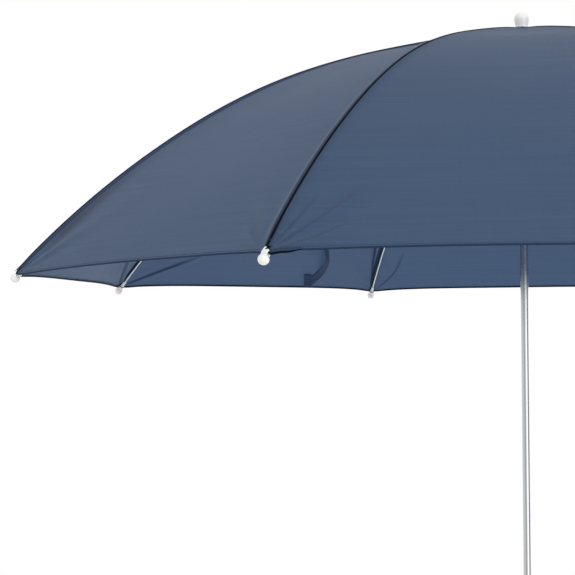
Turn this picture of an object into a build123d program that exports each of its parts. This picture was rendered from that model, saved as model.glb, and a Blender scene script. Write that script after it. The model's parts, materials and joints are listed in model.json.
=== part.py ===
from build123d import *
import os
from math import asin, atan2, cos, degrees, hypot, radians, sin, tan

# Patio umbrella: eight ribs, eight fabric panels, a two-piece pole and a round concrete base.
# Millimetres, +Z up, origin at the centre of the base's underside. Rib 1 points 22.5 degrees
# from +X towards +Y and the others follow every 45 degrees.

# ---- driving dimensions: canopy ----
RIBS = 8
STEP_ANGLE = 360 / RIBS
HALF_ANGLE = STEP_ANGLE / 2
CORNER_HEIGHT = 1560.0
# The open rib is three tangent arcs, each given as slope in, slope out (degrees below level), length.
RIB_ARCS = ((7.5, 15.0, 331.0), (15.0, 33.5, 401.0), (33.5, 47.5, 411.0))
CLOTH = 0.8
CLOTH_TO_ROD = 5.0
PANEL_SPREAD = HALF_ANGLE - 0.02
CROWN_RADIUS = 22.0
CROWN_GAP = 0.5
CROWN_HOLE_RADIUS = 3.4
GORE_START = 4.0
STRAP_PANEL_ANGLE = 135.0
STRAP_WIDTH = 25.0
STRAP_THICKNESS = 1.2
STRAP_STRAIGHT = 110.0
STRAP_BEND = 150.0
STRAP_SWEEP = 55.0
STRAP_ASIDE = 190.0
STRAP_FROM_RIM = 6.0
STRAP_UNDER_CLOTH = 0.5
STRAP_HIGHEST = 300.0

# ---- driving dimensions: ribs, struts and tips ----
ROD_RADIUS = 2.0
ROD_START = 24.0
ROD_PAST_CORNER = 8.0
EYE_THICKNESS = 3.0
TONGUE_HALF_HEIGHT = 1.9
TONGUE_OVERLAP = 3.0
RIB_EYE_RADIUS = 2.6
HINGE_CIRCLE = 15.0
HINGE_DROP = 5.0
WIRE_RADIUS = 0.8
WIRE_HOLE_RADIUS = 1.25
STRUT_JOINT_LENGTH = 475.0
STRUT_JOINT_DROP = 7.0
STRUT_WIDTH = 6.0
STRUT_THICKNESS = 3.0
STRUT_EYE_RADIUS = 3.6
STRUT_HOLE_RADIUS = 1.55
STRUT_PIN_RADIUS = 1.25
CLIP_WALL = 1.2
CLIP_GAP = 4.2
CLIP_LENGTH = 12.0
CLIP_SKIRT = 3.0
RIVET_HEAD = 0.8
RIVET_HEAD_RATIO = 1.8
RUNNER_PIN_RADIUS = 1.0
RUNNER_PIN_LENGTH = 6.4
TIP_BALL_RADIUS = 8.5
TIP_BALL_PAST_CORNER = 13.5
TIP_SLEEVE_RADIUS = 3.8
TIP_SLEEVE_LENGTH = 28.0
FOLD_ANGLE = 58.6

# ---- driving dimensions: pole ----
UPPER_RADIUS = 8.0
UPPER_WALL = 0.8
UPPER_BOTTOM = 650.0
UPPER_TOP_GAP = 1.2
LOWER_RADIUS = 9.5
LOWER_WALL = 1.0
LOWER_TOP = 750.0
SLIDE_FIT = 0.3
PRESS_FIT = 0.05
PLUG_DEPTH = 20.0
PLUG_RIM = 0.2
PLUG_HEAD = 8.0
POLE_FOOT_HEAD = 5.0
POLE_FOOT_GAP = 3.1
COLLAR_RADIUS = 15.0
COLLAR_BOTTOM = 700.0
COLLAR_TOP = 792.0
COLLAR_SCREW_HEIGHT = 772.0
COLLAR_SCREW_RADIUS = 3.0
COLLAR_SCREW_END = 40.0
COLLAR_BOSS_RADIUS = 8.0
COLLAR_BOSS_END = 24.0
COLLAR_KNOB_RADIUS = 13.0
COLLAR_KNOB_START = 28.0
COLLAR_KNOB_THICKNESS = 10.0

# ---- driving dimensions: notch, runner and finial ----
NOTCH_RADIUS = 19.5
NOTCH_SKIRT = 22.0
NOTCH_SLOT = 4.2
NOTCH_SLOT_INNER = 11.2
NOTCH_SLOT_DEPTH = 8.0
NOTCH_ROOF = 1.2
NOTCH_ROOF_GAP = 1.0
NOTCH_BORE_RADIUS = 3.1
NOTCH_SEAT = 1.0
RUNNER_SLEEVE_RADIUS = 11.0
RUNNER_FLANGE_RADIUS = 19.5
RUNNER_HALF_FLANGE = 9.0
RUNNER_SLOT = 7.2
RUNNER_SKIRT = 50.0
RUNNER_NECK = 12.0
FINIAL_RADIUS = 15.2
FINIAL_HEIGHT = 33.0
FINIAL_SEAT = 1.8
FINIAL_FOOT_RADIUS = 12.6
FINIAL_FOOT_RISE = 0.8
FINIAL_STEM_RADIUS = 3.0
FINIAL_STEM_LENGTH = 14.0
FINIAL_STEM_RISE = 2.2
CATCH_HEIGHT = 12.0
CATCH_THICKNESS = 2.5
CATCH_BACK = 5.5
CATCH_LOW_FACE = 8.2
CATCH_NOSE = 10.6
CATCH_NOSE_HEIGHT = 2.0
CATCH_CLEARANCE = 0.8

# ---- driving dimensions: base ----
BASE_RADIUS = 200.0
BASE_THICKNESS = 50.0
FOOT_RADIUS = 15.0
FOOT_HEIGHT = 8.0
FOOT_CIRCLE = 150.0
FLANGE_RADIUS = 55.0
FLANGE_THICKNESS = 4.0
BOLT_CIRCLE = 43.0
BOLT_RADIUS = 4.0
BOLT_COUNT = 4
BOLT_FIRST_ANGLE = 45.0
BOLT_LENGTH = 30.0
BOLT_HEAD_RADIUS = 7.5
BOLT_HEAD_HEIGHT = 5.3
BASE_ROUNDING = 12.0
STEM_RADIUS = 19.0
STEM_WALL = 2.0
STEM_TOP = 360.0
CLAMP_HEIGHT = 300.0
CLAMP_SCREW_RADIUS = 4.0
CLAMP_SCREW_END = 50.0
CLAMP_KNOB_RADIUS = 20.0
CLAMP_KNOB_START = 37.0
CLAMP_KNOB_THICKNESS = 14.0
SCREW_START_GAP = 0.3
SCREW_CLEARANCE = 0.3
NUT_RADIUS = 10.0
NUT_END = 31.0
CUP_HEIGHT = 20.0
CUP_FLOOR = 3.0
CUP_FIT = 0.4
BUSH_DEPTH = 32.0
BUSH_RIM_GAP = 0.3
BUSH_RIM_TOP = 4.0

# ---- driving dimensions: hand knobs, as shares of their radius ----
KNOB_LOBES = 6
KNOB_CORE = 0.82
KNOB_LOBE_CIRCLE = 0.72
KNOB_LOBE = 0.28
KNOB_HUB = 0.5
KNOB_HUB_LENGTH = 6.0
KNOB_BORE_FIT = 0.15
KNOB_BORE_END = 1.0


# ---- canopy profile ----
def walk(length):
    """Radius and drop of the profile, and its slope in degrees, after a length along it."""
    radius, drop = 0.0, 0.0
    for slope_in, slope_out, arc in RIB_ARCS:
        part = min(length, arc)
        slope = slope_in + (slope_out - slope_in) * part / arc
        turn = radians(slope - slope_in)
        chord = part * sin(turn / 2) / (turn / 2) if turn else part
        mean = radians((slope_in + slope) / 2)
        radius += chord * cos(mean)
        drop += chord * sin(mean)
        length -= part
        if length <= 0:
            break
    # Past the corner the profile runs straight on at its last slope.
    radius += max(length, 0) * cos(radians(slope))
    drop += max(length, 0) * sin(radians(slope))
    return radius, drop, slope


PROFILE_LENGTH = sum(arc[2] for arc in RIB_ARCS)
APEX_HEIGHT = CORNER_HEIGHT + walk(PROFILE_LENGTH)[1]


def under(length, depth):
    """Radius and height of the point a depth below the cloth line, square to it."""
    radius, drop, slope = walk(length)
    return radius - depth * sin(radians(slope)), APEX_HEIGHT - drop - depth * cos(radians(slope))


def length_at(radius, depth):
    """Length along the profile where its line at a depth has a radius."""
    low, high = 0.0, PROFILE_LENGTH
    for _ in range(60):
        middle = (low + high) / 2
        if under(middle, depth)[0] < radius:
            low = middle
        else:
            high = middle
    return low


HINGE_HEIGHT = under(HINGE_CIRCLE, CLOTH_TO_ROD + HINGE_DROP)[1]
STRUT_JOINT = under(STRUT_JOINT_LENGTH, CLOTH_TO_ROD + STRUT_JOINT_DROP)
STRUT_LENGTH = hypot(STRUT_JOINT[0] - HINGE_CIRCLE, HINGE_HEIGHT - STRUT_JOINT[1])
STRUT_SLOPE = degrees(asin((HINGE_HEIGHT - STRUT_JOINT[1]) / STRUT_LENGTH))
RUNNER_HEIGHT = HINGE_HEIGHT - 2 * STRUT_LENGTH * sin(radians(STRUT_SLOPE))
RUNNER_TRAVEL = 2 * STRUT_LENGTH * (sin(radians(STRUT_SLOPE + FOLD_ANGLE)) - sin(radians(STRUT_SLOPE)))


# ---- helpers ----
def at(x, z, y=0.0):
    return Vector(x, y, z)


def rod(radius, bottom, top):
    return Pos(0, 0, (bottom + top) / 2) * Cylinder(radius, top - bottom)


def tube(outer, inner, bottom, top):
    return rod(outer, bottom, top) - rod(inner, bottom - 1, top + 1)


def bar_x(radius, near, far, height):
    return Pos((near + far) / 2, 0, height) * Rot(0, 90, 0) * Cylinder(radius, far - near)


def bar_y(radius, x, height, width):
    return Pos(x, 0, height) * Rot(90, 0, 0) * Cylinder(radius, width)


def plate(points, thickness):
    """A plate in the rib plane, centred on it."""
    outline = Polyline(*[at(x, z) for x, z in points], close=True)
    return extrude(make_face(outline), amount=thickness / 2, dir=(0, 1, 0), both=True)


def band(centre, end, half):
    """The four corners of a straight strip between two points of the rib plane."""
    angle = atan2(end[1] - centre[1], end[0] - centre[0])
    dx, dz = -sin(angle) * half, cos(angle) * half
    return [
        (centre[0] + dx, centre[1] + dz),
        (end[0] + dx, end[1] + dz),
        (end[0] - dx, end[1] - dz),
        (centre[0] - dx, centre[1] - dz),
    ]


def turned(shape, angle):
    return Rot(0, 0, angle) * shape


def arc_chain(depth, start, squeeze=1.0):
    """The profile's arcs at a depth, from a length to the corner, drawn by three points each."""
    edges = []
    reached = 0.0
    for _, _, arc in RIB_ARCS:
        first, last = max(start, reached), reached + arc
        reached = last
        if last <= first:
            continue
        points = [under(s, depth) for s in (first, (first + last) / 2, last)]
        edges.append(ThreePointArc(*[at(r * squeeze, z) for r, z in points]))
    return edges


def skin_face(depth, thickness, start):
    """Cross-section of a panel on its middle line, where the octagon is cos(22.5) narrower."""
    squeeze = cos(radians(HALF_ANGLE))
    upper = arc_chain(depth, start, squeeze)
    lower = arc_chain(depth + thickness, start, squeeze)
    ends = [
        Line(upper[0] @ 0, lower[0] @ 0),
        Line(upper[-1] @ 1, lower[-1] @ 1),
    ]
    return make_face([*upper, *lower, *ends])


# ---- canopy ----
def gore():
    """Cloth carried by one rib: half of the panel on each side, up to the panels' middle lines."""
    reach = tan(radians(HALF_ANGLE)) * walk(PROFILE_LENGTH)[0]
    panel = extrude(skin_face(0, CLOTH, GORE_START), amount=reach, dir=(0, 1, 0))
    far = walk(PROFILE_LENGTH)[0] * 1.1
    gap = tan(radians(HALF_ANGLE - PANEL_SPREAD)) * far
    corners = [
        (0.5, 0.5 * gap / far),
        (far, gap),
        (far, far * tan(radians(HALF_ANGLE))),
        (0.5, 0.5 * tan(radians(HALF_ANGLE))),
    ]
    wedge = extrude(make_face(Polyline(*corners, close=True)), amount=APEX_HEIGHT + 10)
    half = turned(panel & wedge, -HALF_ANGLE)
    whole = half + mirror(half, Plane.XZ)
    return whole - rod(CROWN_RADIUS + CROWN_GAP, 0, APEX_HEIGHT + 10)


def crown_patch():
    """The round of cloth between the notch and the finial, with a hole for the finial's stem."""
    squeeze = cos(radians(HALF_ANGLE))
    edge = length_at(CROWN_RADIUS, 0) / squeeze
    hole = CROWN_HOLE_RADIUS
    outline = Polyline(
        at(hole, under(hole / squeeze, 0)[1]),
        at(CROWN_RADIUS, under(edge, 0)[1]),
        at(CROWN_RADIUS, under(edge, 0)[1] - CLOTH),
        at(hole, under(hole / squeeze, 0)[1] - CLOTH),
        close=True,
    )
    return revolve(make_face(outline), Axis.Z)


def tie_strap():
    """The closing strap, sewn to a rim and lying up the inside of its panel, then curling aside."""
    rim = walk(PROFILE_LENGTH)[0] * cos(radians(HALF_ANGLE)) - STRAP_FROM_RIM
    run = Pos(rim - STRAP_STRAIGHT / 2, -STRAP_ASIDE) * Rectangle(STRAP_STRAIGHT, STRAP_WIDTH)
    outer = STRAP_BEND + STRAP_WIDTH / 2
    ring = Circle(outer) - Circle(outer - STRAP_WIDTH)
    far = 2 * outer
    sector = Polyline((0, 0), (0, -far), (-far * tan(radians(STRAP_SWEEP)), -far), close=True)
    curl = Pos(rim - STRAP_STRAIGHT, STRAP_BEND - STRAP_ASIDE) * (ring & make_face(sector))
    plan = extrude(run + curl, amount=APEX_HEIGHT)
    face = skin_face(CLOTH + STRAP_UNDER_CLOTH, STRAP_THICKNESS, STRAP_HIGHEST)
    inside = extrude(face, amount=-far, dir=(0, 1, 0))
    return inside & plan


# ---- ribs and struts ----
def rib():
    start = length_at(ROD_START, CLOTH_TO_ROD)
    route = arc_chain(CLOTH_TO_ROD, start)
    end = route[-1] @ 1
    beyond = under(PROFILE_LENGTH + ROD_PAST_CORNER, CLOTH_TO_ROD)
    route.append(Line(end, at(*beyond)))
    section = Plane(origin=route[0] @ 0, z_dir=route[0] % 0) * Circle(ROD_RADIUS)
    wire = sweep(section, path=Wire(route))
    # The rod's inner end is pressed flat into an eye that turns on the notch's wire.
    pivot = (HINGE_CIRCLE, HINGE_HEIGHT)
    tongue_end = under(start + TONGUE_OVERLAP, CLOTH_TO_ROD)
    tongue = plate(band(pivot, tongue_end, TONGUE_HALF_HEIGHT), EYE_THICKNESS)
    eye = bar_y(RIB_EYE_RADIUS, *pivot, EYE_THICKNESS)
    hole = bar_y(WIRE_HOLE_RADIUS, *pivot, EYE_THICKNESS + 2)
    return [wire + tongue + eye - hole, *strut_clip()]


def strut_clip():
    """The saddle folded over the rod, and the rivet that the strut turns on."""
    slope = walk(STRUT_JOINT_LENGTH)[2]
    top = ROD_RADIUS + CLIP_WALL
    bottom = -STRUT_JOINT_DROP - CLIP_SKIRT
    outer = CLIP_GAP + 2 * CLIP_WALL
    block = Pos(0, 0, (top + bottom) / 2) * Box(CLIP_LENGTH, outer, top - bottom)
    channel_top = ROD_RADIUS + 0.1
    middle = (channel_top + bottom) / 2 - 1
    channel = Pos(0, 0, middle) * Box(CLIP_LENGTH + 2, CLIP_GAP, channel_top - bottom + 2)
    rivet_hole = Pos(0, 0, -STRUT_JOINT_DROP) * Rot(90, 0, 0) * Cylinder(STRUT_PIN_RADIUS, outer + 2)
    rivet = Rot(90, 0, 0) * Cylinder(STRUT_PIN_RADIUS, outer)
    head = Cylinder(STRUT_PIN_RADIUS * RIVET_HEAD_RATIO, RIVET_HEAD)
    heads = [Pos(0, side * (outer + RIVET_HEAD) / 2, 0) * Rot(90, 0, 0) * head for side in (-1, 1)]
    rivet = Pos(0, 0, -STRUT_JOINT_DROP) * (rivet + heads[0] + heads[1])
    x, z = under(STRUT_JOINT_LENGTH, CLOTH_TO_ROD)
    seat = Pos(x, 0, z) * Rot(0, slope, 0)
    return [seat * (block - channel - rivet_hole), seat * rivet]


def rib_tip():
    """White plastic ball end, with the sleeve that is pushed over the rod."""
    slope = walk(PROFILE_LENGTH)[2]
    x, z = under(PROFILE_LENGTH + TIP_BALL_PAST_CORNER, CLOTH_TO_ROD)
    ball = Sphere(TIP_BALL_RADIUS)
    sleeve = Rot(0, 90, 0) * Cylinder(TIP_SLEEVE_RADIUS, TIP_SLEEVE_LENGTH)
    sleeve = Pos(-TIP_SLEEVE_LENGTH / 2, 0, 0) * sleeve
    depth = TIP_SLEEVE_LENGTH + ROD_PAST_CORNER - TIP_BALL_PAST_CORNER
    bore_end = ROD_PAST_CORNER - TIP_BALL_PAST_CORNER + 0.3
    bore = Pos(bore_end - depth / 2 - 2, 0, 0) * Rot(0, 90, 0) * Cylinder(ROD_RADIUS + 0.15, depth + 4)
    return Pos(x, 0, z) * Rot(0, slope, 0) * (ball + sleeve - bore)


def strut():
    """A flat bar: its outer eye turns on the rib's rivet, and its inner pin sits in the runner."""
    inner = (HINGE_CIRCLE, RUNNER_HEIGHT)
    bar = plate(band(inner, STRUT_JOINT, STRUT_WIDTH / 2), STRUT_THICKNESS)
    outer_eye = bar_y(STRUT_EYE_RADIUS, *STRUT_JOINT, STRUT_THICKNESS)
    inner_eye = bar_y(STRUT_WIDTH / 2, *inner, STRUT_THICKNESS)
    pin = bar_y(RUNNER_PIN_RADIUS, *inner, RUNNER_PIN_LENGTH)
    hole = bar_y(STRUT_HOLE_RADIUS, *STRUT_JOINT, STRUT_THICKNESS + 2)
    return bar + outer_eye + inner_eye + pin - hole


# ---- notch, runner and finial ----
def radial_slots(width, inner, outer, bottom, top):
    block = Pos((inner + outer) / 2, 0, (bottom + top) / 2) * Box(outer - inner, width, top - bottom)
    return [turned(block, HALF_ANGLE + i * STEP_ANGLE) for i in range(RIBS)]


def top_notch():
    """The slotted hub that the ribs hang from, pushed down over the pole's top."""
    roof = HINGE_HEIGHT + RIB_EYE_RADIUS + NOTCH_ROOF_GAP
    bottom = HINGE_HEIGHT - RIB_EYE_RADIUS - NOTCH_SKIRT
    body = rod(NOTCH_RADIUS, bottom, roof + NOTCH_ROOF)
    body -= rod(UPPER_RADIUS + PRESS_FIT, bottom - 1, HINGE_HEIGHT - NOTCH_SEAT)
    body -= rod(NOTCH_BORE_RADIUS, HINGE_HEIGHT - 2 * NOTCH_SEAT, roof + 2 * NOTCH_ROOF)
    floor = HINGE_HEIGHT - NOTCH_SLOT_DEPTH
    for slot in radial_slots(NOTCH_SLOT, NOTCH_SLOT_INNER, NOTCH_RADIUS + 2, floor, roof):
        body -= slot
    return body - Pos(0, 0, HINGE_HEIGHT) * Torus(HINGE_CIRCLE, WIRE_RADIUS + PRESS_FIT)


def runner():
    """The sliding collar that the struts push against, with one open slot for each strut."""
    body = rod(RUNNER_SLEEVE_RADIUS, RUNNER_HEIGHT - RUNNER_SKIRT, RUNNER_HEIGHT + RUNNER_NECK)
    half = RUNNER_HALF_FLANGE
    body += rod(RUNNER_FLANGE_RADIUS, RUNNER_HEIGHT - half, RUNNER_HEIGHT + half)
    reach = 2 * RUNNER_SKIRT
    body -= rod(UPPER_RADIUS + SLIDE_FIT, RUNNER_HEIGHT - reach, RUNNER_HEIGHT + reach)
    low = RUNNER_HEIGHT - RUNNER_HALF_FLANGE - 1
    high = RUNNER_HEIGHT + RUNNER_HALF_FLANGE + 1
    for slot in radial_slots(RUNNER_SLOT, RUNNER_SLEEVE_RADIUS + 0.2, RUNNER_FLANGE_RADIUS + 2, low, high):
        body -= slot
    return body


CATCH_MIDDLE = RUNNER_HEIGHT - RUNNER_SKIRT - 1 - CATCH_HEIGHT / 2


def runner_catch():
    """The sprung wedge that holds the runner up: square on top and sloping below."""
    low, high = CATCH_MIDDLE - CATCH_HEIGHT / 2, CATCH_MIDDLE + CATCH_HEIGHT / 2
    outline = [
        (CATCH_BACK, low),
        (CATCH_LOW_FACE, low),
        (CATCH_NOSE, high - CATCH_NOSE_HEIGHT),
        (CATCH_NOSE, high),
        (CATCH_BACK, high),
    ]
    return plate(outline, CATCH_THICKNESS)


def finial():
    """The domed cap on top, with the stem that pins the cloth to the notch."""
    low = APEX_HEIGHT - FINIAL_SEAT
    top = APEX_HEIGHT + FINIAL_HEIGHT
    shoulder = top - FINIAL_RADIUS
    stem_end = low - FINIAL_STEM_LENGTH
    stem_top = low + FINIAL_STEM_RISE
    foot = low + FINIAL_FOOT_RISE
    slant = radians(45)
    outline = [
        Line(at(0, stem_end), at(FINIAL_STEM_RADIUS, stem_end)),
        Line(at(FINIAL_STEM_RADIUS, stem_end), at(FINIAL_STEM_RADIUS, stem_top)),
        Line(at(FINIAL_STEM_RADIUS, stem_top), at(FINIAL_FOOT_RADIUS, foot)),
        Line(at(FINIAL_FOOT_RADIUS, foot), at(FINIAL_RADIUS, shoulder)),
        ThreePointArc(
            at(FINIAL_RADIUS, shoulder),
            at(FINIAL_RADIUS * cos(slant), shoulder + FINIAL_RADIUS * sin(slant)),
            at(0, top),
        ),
        Line(at(0, top), at(0, stem_end)),
    ]
    return revolve(make_face(outline), Axis.Z)


# ---- pole ----
def upper_pole():
    body = tube(UPPER_RADIUS, UPPER_RADIUS - UPPER_WALL, UPPER_BOTTOM, HINGE_HEIGHT - UPPER_TOP_GAP)
    wide = CATCH_THICKNESS + CATCH_CLEARANCE
    tall = CATCH_HEIGHT + CATCH_CLEARANCE
    window = Pos(UPPER_RADIUS, 0, CATCH_MIDDLE) * Box(6, wide, tall)
    return body - window


def pole_guide():
    """The plastic plug in the upper pole's lower end, which keeps it centred in the lower pole."""
    head = rod(UPPER_RADIUS + PLUG_RIM, UPPER_BOTTOM - PLUG_HEAD, UPPER_BOTTOM)
    return head + rod(UPPER_RADIUS - UPPER_WALL - PRESS_FIT, UPPER_BOTTOM, UPPER_BOTTOM + PLUG_DEPTH)


POLE_FOOT_BOTTOM = FOOT_HEIGHT + BASE_THICKNESS + FLANGE_THICKNESS + POLE_FOOT_GAP
LOWER_BOTTOM = POLE_FOOT_BOTTOM + POLE_FOOT_HEAD


def lower_pole():
    return tube(LOWER_RADIUS, LOWER_RADIUS - LOWER_WALL, LOWER_BOTTOM, LOWER_TOP)


def pole_foot():
    head = rod(LOWER_RADIUS, POLE_FOOT_BOTTOM, LOWER_BOTTOM)
    return head + rod(LOWER_RADIUS - LOWER_WALL - PRESS_FIT, LOWER_BOTTOM, LOWER_BOTTOM + PLUG_DEPTH)


def pole_collar():
    """The height clamp: fixed round the lower pole, it guides the upper one and holds its screw."""
    body = rod(COLLAR_RADIUS, COLLAR_BOTTOM, COLLAR_TOP)
    body += bar_x(COLLAR_BOSS_RADIUS, UPPER_RADIUS / 2, COLLAR_BOSS_END, COLLAR_SCREW_HEIGHT)
    body -= rod(LOWER_RADIUS + PRESS_FIT, COLLAR_BOTTOM - 1, LOWER_TOP + 2 * PRESS_FIT)
    body -= rod(UPPER_RADIUS + SLIDE_FIT, LOWER_TOP - 1, COLLAR_TOP + 1)
    return body - bar_x(COLLAR_SCREW_RADIUS + SCREW_CLEARANCE, 0, COLLAR_BOSS_END + 1, COLLAR_SCREW_HEIGHT)


def star_knob(radius, bore, near, thickness, height):
    """A hand knob on an axis along X: a disc with six rounded lobes."""
    body = Cylinder(radius * KNOB_CORE, thickness)
    for i in range(KNOB_LOBES):
        lobe = Pos(radius * KNOB_LOBE_CIRCLE, 0, 0) * Cylinder(radius * KNOB_LOBE, thickness)
        body += turned(lobe, i * 360 / KNOB_LOBES)
    body += Pos(0, 0, -(thickness + KNOB_HUB_LENGTH) / 2) * Cylinder(radius * KNOB_HUB, KNOB_HUB_LENGTH)
    body -= Pos(0, 0, -KNOB_HUB_LENGTH / 2 - KNOB_BORE_END) * Cylinder(bore, thickness + KNOB_HUB_LENGTH)
    return Pos(near + KNOB_HUB_LENGTH + thickness / 2, 0, height) * Rot(0, 90, 0) * body


# ---- base ----
def around(shape, radius):
    """Copies at the bolts' angles, on a circle of the given radius."""
    step = 360 / BOLT_COUNT
    return [turned(Pos(radius, 0, 0) * shape, BOLT_FIRST_ANGLE + i * step) for i in range(BOLT_COUNT)]


DISC_TOP = FOOT_HEIGHT + BASE_THICKNESS
FLANGE_TOP = DISC_TOP + FLANGE_THICKNESS


def base_weight():
    disc = rod(BASE_RADIUS, FOOT_HEIGHT, DISC_TOP)
    disc = fillet(disc.edges().filter_by(GeomType.CIRCLE).sort_by(Axis.Z)[-1], BASE_ROUNDING)
    drilling = rod(BOLT_RADIUS + SCREW_CLEARANCE, DISC_TOP - BOLT_LENGTH - 1, DISC_TOP + 1)
    for hole in around(drilling, BOLT_CIRCLE):
        disc -= hole
    return disc


def base_flange():
    flange = rod(FLANGE_RADIUS, DISC_TOP, FLANGE_TOP)
    for hole in around(rod(BOLT_RADIUS + SCREW_CLEARANCE, DISC_TOP - 1, FLANGE_TOP + 1), BOLT_CIRCLE):
        flange -= hole
    return flange


def flange_bolts():
    head = extrude(Pos(0, 0, FLANGE_TOP) * RegularPolygon(BOLT_HEAD_RADIUS, 6), amount=BOLT_HEAD_HEIGHT)
    return around(head + rod(BOLT_RADIUS, DISC_TOP - BOLT_LENGTH, FLANGE_TOP), BOLT_CIRCLE)


def base_stem():
    body = tube(STEM_RADIUS, STEM_RADIUS - STEM_WALL, FLANGE_TOP, STEM_TOP)
    return body - bar_x(CLAMP_SCREW_RADIUS + 0.5, 5, 2 * STEM_RADIUS, CLAMP_HEIGHT)


def stem_nut():
    barrel = bar_x(NUT_RADIUS, STEM_RADIUS / 2, NUT_END, CLAMP_HEIGHT)
    body = barrel - rod(STEM_RADIUS, CLAMP_HEIGHT - 2 * NUT_RADIUS, CLAMP_HEIGHT + 2 * NUT_RADIUS)
    return body - bar_x(CLAMP_SCREW_RADIUS + SCREW_CLEARANCE, 4, NUT_END + 9, CLAMP_HEIGHT)


def base_cup():
    body = rod(STEM_RADIUS - STEM_WALL - 2 * PRESS_FIT, FLANGE_TOP, FLANGE_TOP + CUP_HEIGHT)
    return body - rod(LOWER_RADIUS + CUP_FIT, FLANGE_TOP + CUP_FLOOR, FLANGE_TOP + CUP_HEIGHT + 1)


def pole_bush():
    """The plastic reducer in the stem's mouth, which turns with the pole."""
    body = rod(STEM_RADIUS - STEM_WALL - SLIDE_FIT, STEM_TOP - BUSH_DEPTH, STEM_TOP + 1)
    body += rod(STEM_RADIUS, STEM_TOP + BUSH_RIM_GAP, STEM_TOP + BUSH_RIM_TOP)
    return body - rod(LOWER_RADIUS + SLIDE_FIT, STEM_TOP - BUSH_DEPTH - 1, STEM_TOP + BUSH_RIM_TOP + 1)


# ---- export ----
def save(name, shape):
    solids = shape if isinstance(shape, list) else [shape]
    solids = [solid for item in solids for solid in item.solids()]
    whole = solids[0] if len(solids) == 1 else Compound(children=solids)
    export_step(whole, f"parts/{name}.step")


def main():
    os.makedirs("parts", exist_ok=True)
    save("base_weight", base_weight())
    save("base_feet", around(rod(FOOT_RADIUS, 0, FOOT_HEIGHT), FOOT_CIRCLE))
    save("base_flange", base_flange())
    save("flange_bolts", flange_bolts())
    save("base_stem", base_stem())
    save("stem_nut", stem_nut())
    save("base_cup", base_cup())
    clamp_start = LOWER_RADIUS + SCREW_START_GAP
    save("clamp_screw", bar_x(CLAMP_SCREW_RADIUS, clamp_start, CLAMP_SCREW_END, CLAMP_HEIGHT))
    bore = CLAMP_SCREW_RADIUS + KNOB_BORE_FIT
    thick = CLAMP_KNOB_THICKNESS
    save("clamp_knob", star_knob(CLAMP_KNOB_RADIUS, bore, CLAMP_KNOB_START, thick, CLAMP_HEIGHT))
    save("pole_bush", pole_bush())
    save("lower_pole", lower_pole())
    save("pole_foot", pole_foot())
    save("pole_collar", pole_collar())
    collar_start = UPPER_RADIUS + SCREW_START_GAP
    save("collar_screw", bar_x(COLLAR_SCREW_RADIUS, collar_start, COLLAR_SCREW_END, COLLAR_SCREW_HEIGHT))
    bore = COLLAR_SCREW_RADIUS + KNOB_BORE_FIT
    thick = COLLAR_KNOB_THICKNESS
    save("collar_knob", star_knob(COLLAR_KNOB_RADIUS, bore, COLLAR_KNOB_START, thick, COLLAR_SCREW_HEIGHT))
    save("upper_pole", upper_pole())
    save("pole_guide", pole_guide())
    save("top_notch", top_notch())
    save("notch_wire", Pos(0, 0, HINGE_HEIGHT) * Torus(HINGE_CIRCLE, WIRE_RADIUS))
    save("finial", finial())
    save("crown_patch", crown_patch())
    save("runner_catch", runner_catch())
    save("runner", runner())
    repeated = {"rib": rib(), "rib_tip": [rib_tip()], "strut": [strut()], "gore": [gore()]}
    for number in range(1, RIBS + 1):
        angle = HALF_ANGLE + (number - 1) * STEP_ANGLE
        for name, shapes in repeated.items():
            save(f"{name}_{number}", [turned(shape, angle) for shape in shapes])
    save("tie_strap", turned(tie_strap(), STRAP_PANEL_ANGLE))
    print("rib hinge height", HINGE_HEIGHT)
    print("strut joint", STRUT_JOINT, "length", STRUT_LENGTH)
    print("runner height", RUNNER_HEIGHT, "travel", RUNNER_TRAVEL)
    print("corner radius", walk(PROFILE_LENGTH)[0], "apex height", APEX_HEIGHT)


main()
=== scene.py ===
"""Patio umbrella with base: cloth, plastic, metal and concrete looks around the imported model."""

import json
import math

import bpy
import numpy as np
from mathutils import Matrix, Vector


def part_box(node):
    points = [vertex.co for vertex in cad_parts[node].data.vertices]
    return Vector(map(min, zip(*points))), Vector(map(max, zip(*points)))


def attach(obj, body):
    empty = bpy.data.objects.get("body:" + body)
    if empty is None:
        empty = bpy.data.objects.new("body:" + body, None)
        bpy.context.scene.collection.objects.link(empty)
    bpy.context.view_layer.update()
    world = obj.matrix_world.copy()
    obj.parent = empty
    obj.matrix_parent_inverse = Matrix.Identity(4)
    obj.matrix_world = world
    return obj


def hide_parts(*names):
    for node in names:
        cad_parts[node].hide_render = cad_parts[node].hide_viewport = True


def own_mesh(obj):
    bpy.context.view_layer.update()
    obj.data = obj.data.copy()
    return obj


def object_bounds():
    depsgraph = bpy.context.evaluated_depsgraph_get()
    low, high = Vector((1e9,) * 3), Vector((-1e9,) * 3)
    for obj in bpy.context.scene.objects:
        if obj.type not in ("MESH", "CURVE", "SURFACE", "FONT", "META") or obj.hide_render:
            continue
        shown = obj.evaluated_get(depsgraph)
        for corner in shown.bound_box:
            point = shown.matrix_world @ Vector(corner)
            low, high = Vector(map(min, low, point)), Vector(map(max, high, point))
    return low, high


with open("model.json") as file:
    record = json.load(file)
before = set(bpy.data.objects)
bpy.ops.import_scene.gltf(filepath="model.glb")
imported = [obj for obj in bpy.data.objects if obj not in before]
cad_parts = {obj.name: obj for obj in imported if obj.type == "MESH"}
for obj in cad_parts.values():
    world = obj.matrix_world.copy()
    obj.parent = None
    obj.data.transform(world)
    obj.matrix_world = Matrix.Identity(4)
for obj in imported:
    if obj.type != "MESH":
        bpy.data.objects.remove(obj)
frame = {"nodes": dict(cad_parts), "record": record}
cad_low, cad_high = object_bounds()

# ---- sizes, in metres, and angles ----
RIBS = 8
HALF = math.pi / RIBS
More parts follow.
